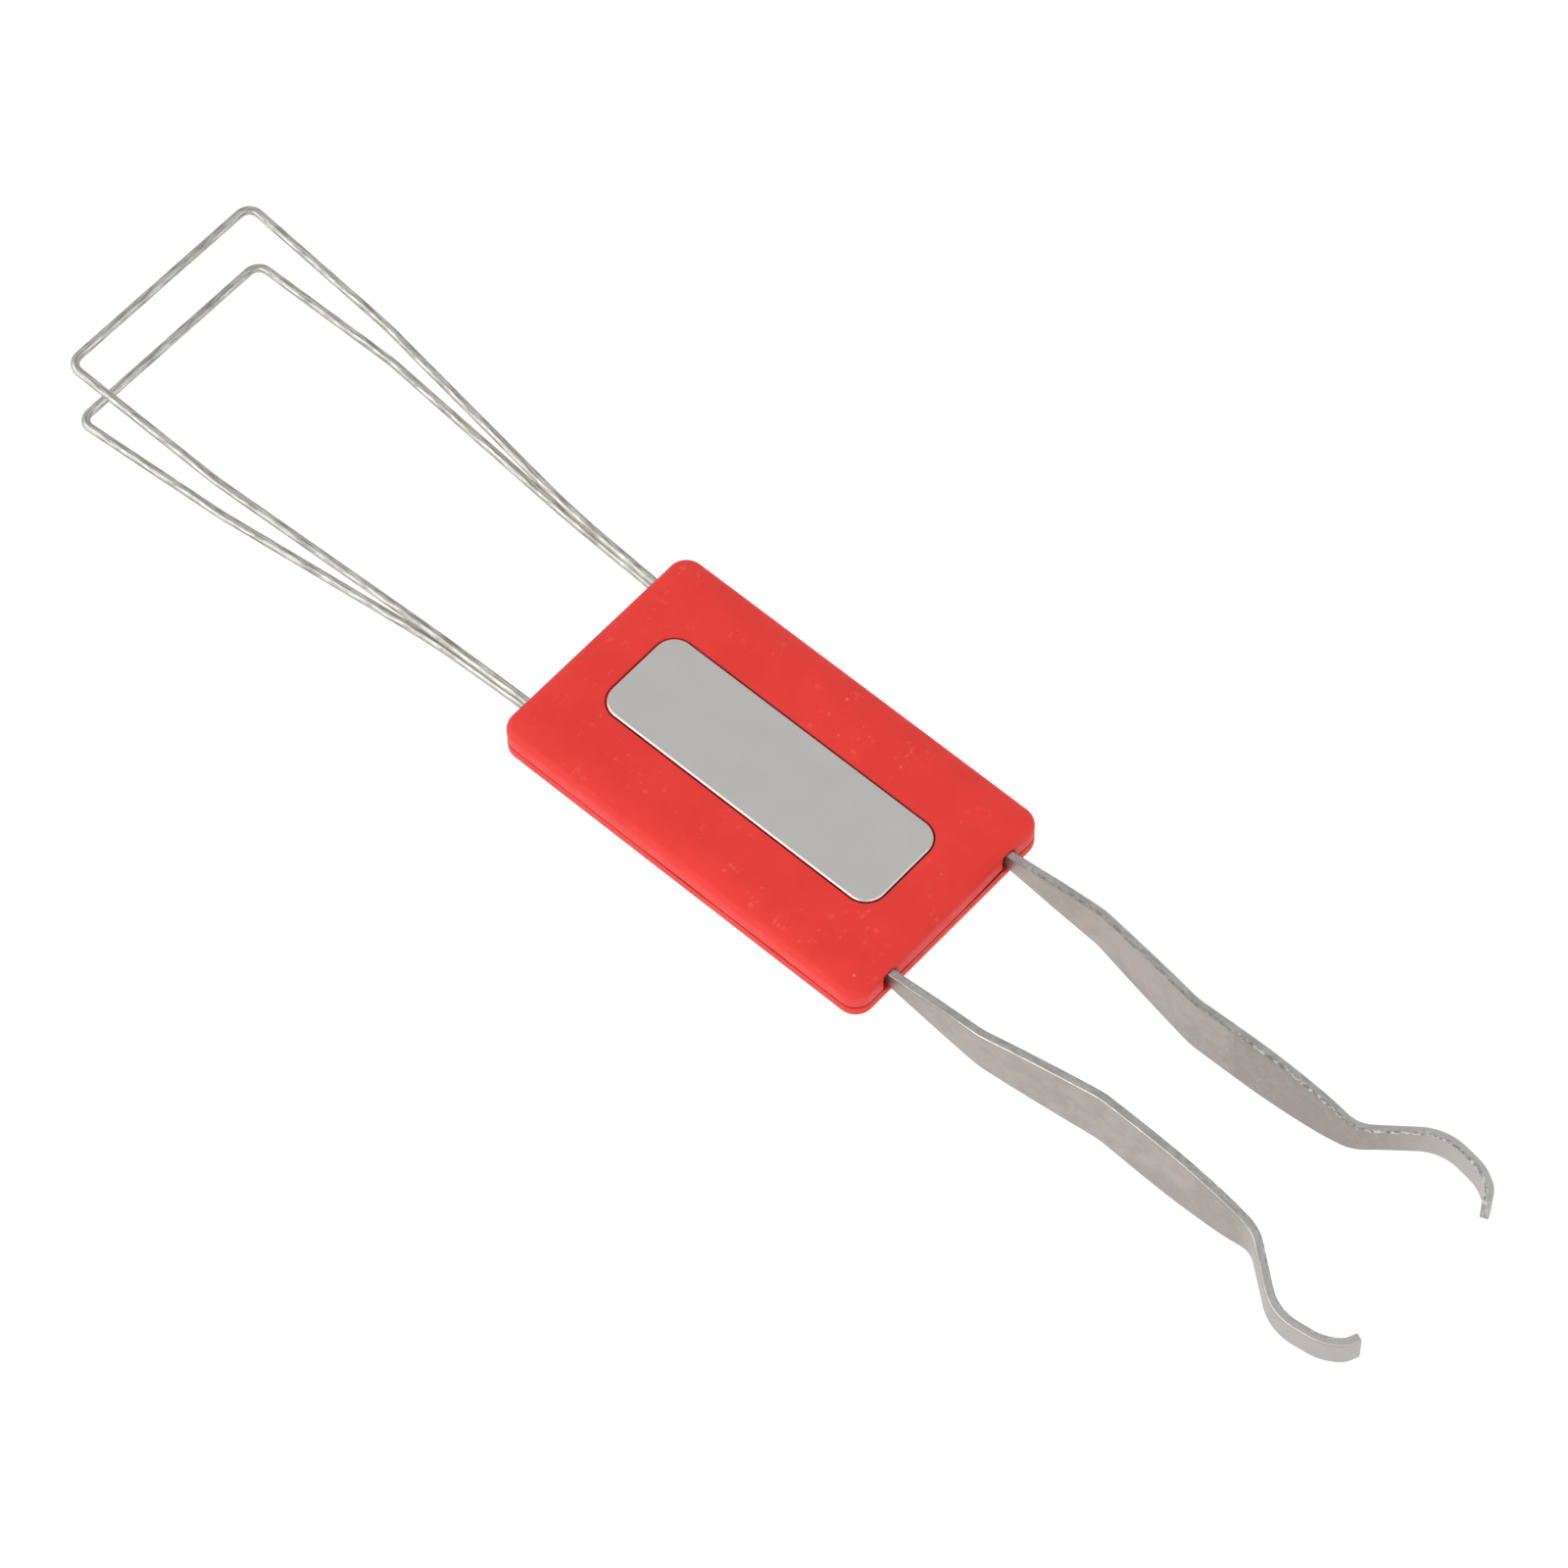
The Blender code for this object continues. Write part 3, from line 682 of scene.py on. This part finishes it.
def wall_ring(inset, height):
    """The handle's outline moved inwards, with its corners tightened a little."""
    radius = max(CORNER_RADIUS - CORNER_SHRINK * inset, LEAST_CORNER_RADIUS)
    return rounded_ring(HALF_X - inset, HALF_Y - inset, radius, height)


def shoulder_profile():
    """Insets and drops of the upper edge: a round at the wall, then a long easing to the top."""
    turn = math.radians(90 - SHOULDER_SLOPE)
    ease = SHOULDER_WIDTH * math.tan(math.radians(SHOULDER_SLOPE)) / 2
    depth = ease + EDGE_RADIUS * math.sin(turn)
    profile = []
    for i in range(EDGE_STEPS + 1):
        angle = turn * i / EDGE_STEPS
        profile.append((EDGE_RADIUS * (1 - math.cos(angle)), depth - EDGE_RADIUS * math.sin(angle)))
    reach = profile[-1][0]
    for i in range(1, SHOULDER_STEPS + 1):
        share = i / SHOULDER_STEPS
        profile.append((reach + SHOULDER_WIDTH * share, ease * (1 - share) ** 2))
    return profile


def foot_rings():
    """The rounded edge between the lower shell's walls and its underside."""
    rings = []
    for i in range(1, FOOT_STEPS + 1):
        angle = math.pi / 2 * i / FOOT_STEPS
        rings.append(wall_ring(FOOT_RADIUS * (1 - math.cos(angle)),
                               FOOT_RADIUS * (1 - math.sin(angle))))
    return rings


def inner_rings(rim, level, step):
    """The flat inner face of a shell at `level` and its walls, out to the rim.

    The step is 1 where the walls rise from that face and -1 where they hang from it.
    """
    return [
        wall_ring(WALL + 2.0, level),
        wall_ring(WALL + WALL_FOOT, level),
        wall_ring(WALL, level + step * WALL_FOOT),
        wall_ring(WALL, lambda x, y: rim(x, y) - step * WALL_TOP_BAND),
        wall_ring(WALL, rim),
        wall_ring(RIM_ROUND + LIP_STEP, rim),
    ]


def cut_mouths(shell):
    """Opens the slots for the legs and the wires, before anything is joined to the shell."""
    for side in (1, -1):
        leg_y = side * LEG_EXIT_Y + LEG_SLOT_SHIFT
        combine(shell, guide_mouth(HALF_X, leg_y, *LEG_SLOT), "DIFFERENCE")
        combine(shell, guide_mouth(-HALF_X, side * WIRE_EXIT_Y, *WIRE_SLOT), "DIFFERENCE")


def upper_shell(material):
    """The upper half: a lip at the parting gap, a soft shoulder, the plate's recess and pins."""
    def rim(x, y):
        return PARTING_Z + parting_gap(x, y) / 2 + parting_spread(x, y)

    rings = inner_rings(rim, CEILING_Z, -1.0)
    rings += [
        wall_ring(LIP_STEP + RIM_ROUND * 0.3, lambda x, y: rim(x, y) + RIM_ROUND * 0.3),
        wall_ring(LIP_STEP, lambda x, y: rim(x, y) + RIM_ROUND),
        wall_ring(LIP_STEP * 0.7, lambda x, y: rim(x, y) + RIM_ROUND * 3),
        wall_ring(LIP_STEP * 0.3, PARTING_Z + LIP_RISES[0]),
        wall_ring(0.0, PARTING_Z + LIP_RISES[1]),
    ]
    shoulder = shoulder_profile()
    rings += [wall_ring(inset, TOP_Z - drop) for inset, drop in shoulder]
    recess = (plate_high.x + RECESS_GAP, plate_high.y + RECESS_GAP, PLATE_RADIUS + RECESS_GAP)
    width = shoulder[-1][0]
    outer = (HALF_X - width, HALF_Y - width, LEAST_CORNER_RADIUS)
    lip = tuple(r + RECESS_LIP for r in recess)
    # The flat top goes from the shoulder to the recess's lip in bands.
    for share in (0.15, 0.35, 0.55, 0.75, 0.9, 1.0):
        rings.append(rounded_ring(*(a + (b - a) * share for a, b in zip(outer, lip)), TOP_Z))
    for i in range(1, RECESS_LIP_STEPS + 1):
        angle = math.pi / 2 * i / RECESS_LIP_STEPS
        spread = RECESS_LIP * (1 - math.sin(angle))
        rings.append(rounded_ring(*(r + spread for r in recess),
                                  TOP_Z - RECESS_LIP * (1 - math.cos(angle))))
    rings.append(rounded_ring(*recess, RECESS_FLOOR_Z))
    rings.append(rounded_ring(*(r - 0.6 for r in recess), RECESS_FLOOR_Z))
    shell = add_loft("upper_shell_moulding", rings, material)
    cut_mouths(shell)

    for x, y in PIN_PLACES:
        pin = guide_post(x, y, PIN_RADIUS, PIN_FOOT_Z, CEILING_Z + JOIN_OVERLAP)
        combine(shell, pin, "UNION")
    return shell


def lower_shell(material):
    """The lower half: plain outside, with sockets, the wires' blocks and the bridge's saddle."""
    def rim(x, y):
        return PARTING_Z - parting_gap(x, y) / 2

    rings = inner_rings(rim, FLOOR_Z, 1.0)
    rings += [
        wall_ring(RIM_ROUND * 0.3, lambda x, y: rim(x, y) - RIM_ROUND * 0.3),
        wall_ring(0.0, lambda x, y: rim(x, y) - RIM_ROUND),
        wall_ring(0.0, FOOT_RADIUS),
    ]
    rings += foot_rings()
    rings.append(wall_ring(FOOT_RADIUS + 2.5, 0.0))
    shell = add_loft("lower_shell_moulding", rings, material)
    cut_mouths(shell)

    foot = FLOOR_Z - JOIN_OVERLAP
    for x, y in PIN_PLACES:
        sleeve = guide_sleeve(x, y, SOCKET_RADIUS, SOCKET_OUTER_RADIUS, foot, SOCKET_TOP_Z)
        combine(shell, sleeve, "UNION")
    block_x0, block_x1, near, far = WIRE_BLOCK
    blocks = (SADDLE, (block_x0, block_x1, near, far), (block_x0, block_x1, -far, -near))
    for x0, x1, y0, y1 in blocks:
        combine(shell, guide_box((x0, y0, foot), (x1, y1, BLOCK_TOP_Z)), "UNION")
    return shell


def name_plate(material):
    """The blank metal plate. Its chamfered rim is stored as burnished."""
    half_x, half_y = plate_high.x, plate_high.y
    low, high = plate_low.z, plate_high.z

    def ring(inset, z):
        return rounded_ring(half_x - inset, half_y - inset, PLATE_RADIUS - inset, z)

    rings = [ring(1.0, low), ring(PLATE_UNDER_EDGE, low), ring(0.0, low + PLATE_UNDER_EDGE)]
    # The rim is a chamfer with its two edges eased.
    rings += [ring(PLATE_EDGE * inset, high - PLATE_EDGE * drop) for inset, drop in (
        (0.0, 1.0), (0.06, 0.88), (0.2, 0.7), (0.7, 0.2), (0.88, 0.06), (1.0, 0.0))]
    rings += [ring(PLATE_EDGE * 1.25, high), ring(1.2, high)]
    plate = add_loft("name_plate_blank", rings, material)
    shares = (0.0, 0.0, 0.3, 1.0, 1.0, 1.0, 1.0, 1.0, 0.8, 0.0, 0.0)
    put_values(plate, "burnished", [share for share in shares for _ in rings[0]])
    return plate


# ---------------------------------------------------------------- wire and strip

def wire_loop(level, rises, material):
    """One bent wire, from its root in the handle round the crossbar and back."""
    low, high = in_mm(f"{level}_wire_loop")
    tail_low, tail_high = in_mm(f"{level}_wire_tail_left")
    exit_y = tail_high.y - WIRE_RADIUS
    exit_z = (tail_low.z + tail_high.z) / 2
    bar_z = high.z - WIRE_RADIUS if level == "upper" else low.z + WIRE_RADIUS
    left = [
        (high.x, exit_y, exit_z),
        (EASE_X, EASE_Y, MID_Z + rises[0]),
        (BEND_X, BEND_Y, MID_Z + rises[1]),
        (low.x + WIRE_RADIUS, high.y - WIRE_RADIUS, bar_z),
    ]
    right = [(x, -y, z) for x, y, z in reversed(left)]
    radii = [EASE_RADIUS, BEND_RADIUS, BAR_CORNER_RADIUS]
    path = rounded_path(left + right, radii + radii[::-1], math.radians(WIRE_ARC_DEGREES))
    return add_tube(f"{level}_loop_wire", path, WIRE_RADIUS, WIRE_STEP, material)


def half_height(x):
    """The blank's half height at x: a smooth curve through its listed stations."""
    stations = LEG_HALF_HEIGHTS
    k = max(i for i, (sx, _) in enumerate(stations[:-1]) if sx <= x or i == 0)

    def slope(i):
        (xa, ha), (xb, hb) = stations[max(i - 1, 0)], stations[min(i + 1, len(stations) - 1)]
        return (hb - ha) / (xb - xa)

    (x0, h0), (x1, h1) = stations[k], stations[k + 1]
    t = min(max((x - x0) / (x1 - x0), 0.0), 1.0)
    reach = x1 - x0
    return ((2 * t**3 - 3 * t**2 + 1) * h0 + (t**3 - 2 * t**2 + t) * reach * slope(k)
            + (3 * t**2 - 2 * t**3) * h1 + (t**3 - t**2) * reach * slope(k + 1))


def strip_section(half_h):
    """A strip's cross-section: across and up, with cut_edge, burr_side, rolled_corner, under_side.

    The outer face meets the die-cut edges in rolled corners and the inner face in burrs.
    """
    t = STRIP_THICKNESS / 2
    section = []

    def corner(across, up, radius, start, steps, marks):
        for i in range(steps + 1):
            angle = math.radians(start + 90 * i / steps)
            cut = marks[0] + (marks[1] - marks[0]) * i / steps
            rolled = math.sin(math.pi * i / steps) if radius == ROLLED_RADIUS and up > 0 else 0.0
            burr = 1.0 if radius == BURR_RADIUS and up > 0 else 0.0
            section.append((across + radius * math.cos(angle), up + radius * math.sin(angle),
                            cut, burr, rolled, 1.0 if up < 0 else 0.0))

    def side(across, start, end):
        near = math.copysign(FACE_HOLD, end - start)
        heights = [start + (end - start) * i / FACE_STEPS for i in range(1, FACE_STEPS)]
        for up in (start + near, *heights, end - near):
            section.append((across, up, 0.0, 0.0, 0.0, 0.0))

    def edge(from_across, to_across, up):
        for i in range(1, CUT_STEPS):
            share = i / CUT_STEPS
            section.append((from_across + (to_across - from_across) * share, up, 1.0, 0.0, 0.0,
                            0.5 if up < 0 else 0.0))

    roll, burr = ROLLED_RADIUS, BURR_RADIUS
    side(t, -half_h + roll, half_h - roll)
    corner(t - roll, half_h - roll, roll, 0, ROLLED_STEPS, (0.0, 1.0))
    edge(t - roll, -t + burr, half_h)
    corner(-t + burr, half_h - burr, burr, 90, BURR_STEPS, (1.0, 0.0))
    side(-t, half_h - burr, -half_h + burr)
    corner(-t + burr, -half_h + burr, burr, 180, BURR_STEPS, (0.0, 1.0))
    edge(-t + burr, t - roll, -half_h)
    corner(t - roll, -half_h + roll, roll, 270, ROLLED_STEPS, (1.0, 0.0))
    return section


def with_eased_ends(points, stations):
    """Adds stations close to both ends, where the strip's cut ends are rounded over."""
    total = stations[-1]
    first, last = points[1] - points[0], points[-1] - points[-2]
    near = [END_ROUND * share for share in (0.0, 0.12, 0.4, 1.0)]
    start = [(points[0] + first.normalized() * s, s) for s in near]
    finish = [(points[-1] - last.normalized() * s, total - s) for s in reversed(near)]
    middle = list(zip(points, stations))[1:-1]
    places, lengths = zip(*(start + middle + finish))
    return list(places), list(lengths)


def leg_blade(name, side, material):
    """One leg: the strip's section along the leg's plan, mirrored for the right leg."""
    low = in_mm(f"{name}_leg_blade")[0]
    plan = rounded_path([(low.x, LEG_EXIT_Y), *LEG_PLAN], LEG_BEND_RADII,
                        math.radians(LEG_ARC_DEGREES))
    points, stations = with_eased_ends(*resampled(plan, STATION_STEP))
    directions = tangents(points)
    total = stations[-1]
    names = ("cut_edge", "burr_side", "rolled_corner", "under_side", "strip_along", "strip_across")
    stored = {key: [] for key in names}
    rings = []
    for point, direction, s in zip(points, directions, stations):
        outwards = Vector((-direction.y, direction.x, 0.0))
        short = max(0.0, 1 - min(s, total - s) / END_ROUND)
        inset = END_ROUND * (1 - math.sqrt(1 - short * short))
        ring = []
        for across, up, cut, burr, rolled, under in strip_section(half_height(point.x)):
            tear = noise.noise(Vector((s * 1.7, across * 2.0 + 5 * side, up * 0.2)))
            nick = noise.noise(Vector((s * 4.5, up + 9 * side, across)))
            burr *= BURR_SHARES[name]
            drop = cut * (CUT_SINK + CUT_TEAR * tear) + burr * BURR_NICK * nick + inset
            lean = burr * BURR_LEAN * max(0.0, nick) - math.copysign(inset, across)
            place = point + outwards * (across + lean)
            ring.append((place.x, side * place.y, STRIP_Z + up - math.copysign(drop, up)))
            for key, value in zip(names, (cut, burr, rolled, under, s, across)):
                stored[key].append(value)
        rings.append(ring)
    leg = add_loft(f"{name}_leg_strip", rings, material)
    for key, values in stored.items():
        put_values(leg, key, values)
    return leg


# ---------------------------------------------------------------- stage

def add_camera():
    """A long lens that looks at the handle's middle from above the right leg."""
    azimuth, elevation, roll = map(math.radians, (CAMERA_AZIMUTH, CAMERA_ELEVATION, CAMERA_ROLL))
    back = Vector((math.cos(elevation) * math.cos(azimuth),
                   math.cos(elevation) * math.sin(azimuth), math.sin(elevation)))
    level = Vector((0, 0, 1)).cross(back).normalized()
    rise = back.cross(level)
    right = level * math.cos(roll) + rise * math.sin(roll)
    up = rise * math.cos(roll) - level * math.sin(roll)
    place = Vector((0, 0, MID_Z)) + back * CAMERA_DISTANCE
    place += right * CAMERA_SIDESTEP
    place += up * CAMERA_LIFT
    turn = Matrix((right, up, back)).transposed().to_4x4()
    data = bpy.data.cameras.new("camera")
    data.lens = CAMERA_LENS
    data.sensor_width = CAMERA_SENSOR
    data.clip_start = 0.01
    camera = bpy.data.objects.new("camera", data)
    camera.matrix_world = Matrix.Translation(place * MM) @ turn
    bpy.context.scene.collection.objects.link(camera)
    bpy.context.scene.camera = camera


def add_softbox(name, direction, distance, size, watts, colour=(1.0, 1.0, 1.0)):
    """A rectangular light that faces the handle; distance and size are in metres."""
    data = bpy.data.lights.new(name, "AREA")
    data.shape = "RECTANGLE"
    data.size, data.size_y = size
    data.energy = watts
    data.color = colour
    light = bpy.data.objects.new(name, data)
    direction = Vector(direction).normalized()
    light.location = direction * distance
    light.rotation_euler = direction.to_track_quat("Z", "Y").to_euler()
    bpy.context.scene.collection.objects.link(light)


def add_stage():
    """A glowing white floor, an even white sky and two softboxes."""
    ground = min(cad_low.z, 0.0) - FLOOR_DROP * MM
    corners = [(sx * FLOOR_REACH, sy * FLOOR_REACH, ground)
               for sx, sy in ((-1, -1), (1, -1), (1, 1), (-1, 1))]
    mesh = bpy.data.meshes.new("floor")
    mesh.from_pydata(corners, [], [(0, 1, 2, 3)])
    floor = bpy.data.objects.new("floor", mesh)
    pale = bpy.data.materials.new("floor")
    pale.use_nodes = True
    shader = pale.node_tree.nodes["Principled BSDF"]
    shader.inputs["Base Color"].default_value = (FLOOR_GREY, FLOOR_GREY, FLOOR_GREY, 1.0)
    shader.inputs["Emission Color"].default_value = (1.0, 1.0, 1.0, 1.0)
    shader.inputs["Emission Strength"].default_value = FLOOR_GLOW
    shader.inputs["Roughness"].default_value = 0.9
    shader.inputs["Specular IOR Level"].default_value = 0.1
    mesh.materials.append(pale)
    bpy.context.scene.collection.objects.link(floor)

    world = bpy.data.worlds.new("studio")
    world.use_nodes = True
    background = world.node_tree.nodes["Background"]
    background.inputs["Color"].default_value = (1.0, 1.0, 1.0, 1.0)
    background.inputs["Strength"].default_value = SKY_STRENGTH
    bpy.context.scene.world = world
    add_softbox("key", (-0.42, -0.78, 0.45), 1.6, (2.4, 1.8), KEY_WATTS, (1.0, 0.985, 0.965))
    add_softbox("fill", (0.88, -0.10, 0.45), 1.6, (2.0, 1.2), FILL_WATTS)
    bpy.context.scene.view_settings.view_transform = "Standard"


# ---------------------------------------------------------------- assembly

def stand_for(piece, node, body):
    """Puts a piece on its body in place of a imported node."""
    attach(piece, body)
    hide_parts(node)


def dress(node, material):
    """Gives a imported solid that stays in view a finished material."""
    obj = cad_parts[node]
    obj.data.materials.clear()
    obj.data.materials.append(material)


def main():
    add_camera()
    red = red_plastic()
    wire = spring_wire()
    strip = strip_steel()

    stand_for(upper_shell(red), "upper_shell", "grip")
    stand_for(lower_shell(red), "lower_shell", "grip")
    stand_for(name_plate(satin_plate()), "name_plate", "grip")

    for level, rises in (("upper", UPPER_RISES), ("lower", LOWER_RISES)):
        loop = wire_loop(level, rises, wire)
        stand_for(loop, f"{level}_wire_loop", f"{level}_loop")
    for name, side in (("left", 1), ("right", -1)):
        leg = leg_blade(name, side, strip)
        stand_for(leg, f"{name}_leg_blade", f"{name}_leg")

    dress("plate_adhesive", adhesive_film())
    dress("spring_bridge", inner_steel())
    for level in ("upper", "lower"):
        for hand in ("left", "right"):
            dress(f"{level}_wire_tail_{hand}", wire)

    add_stage()


main()
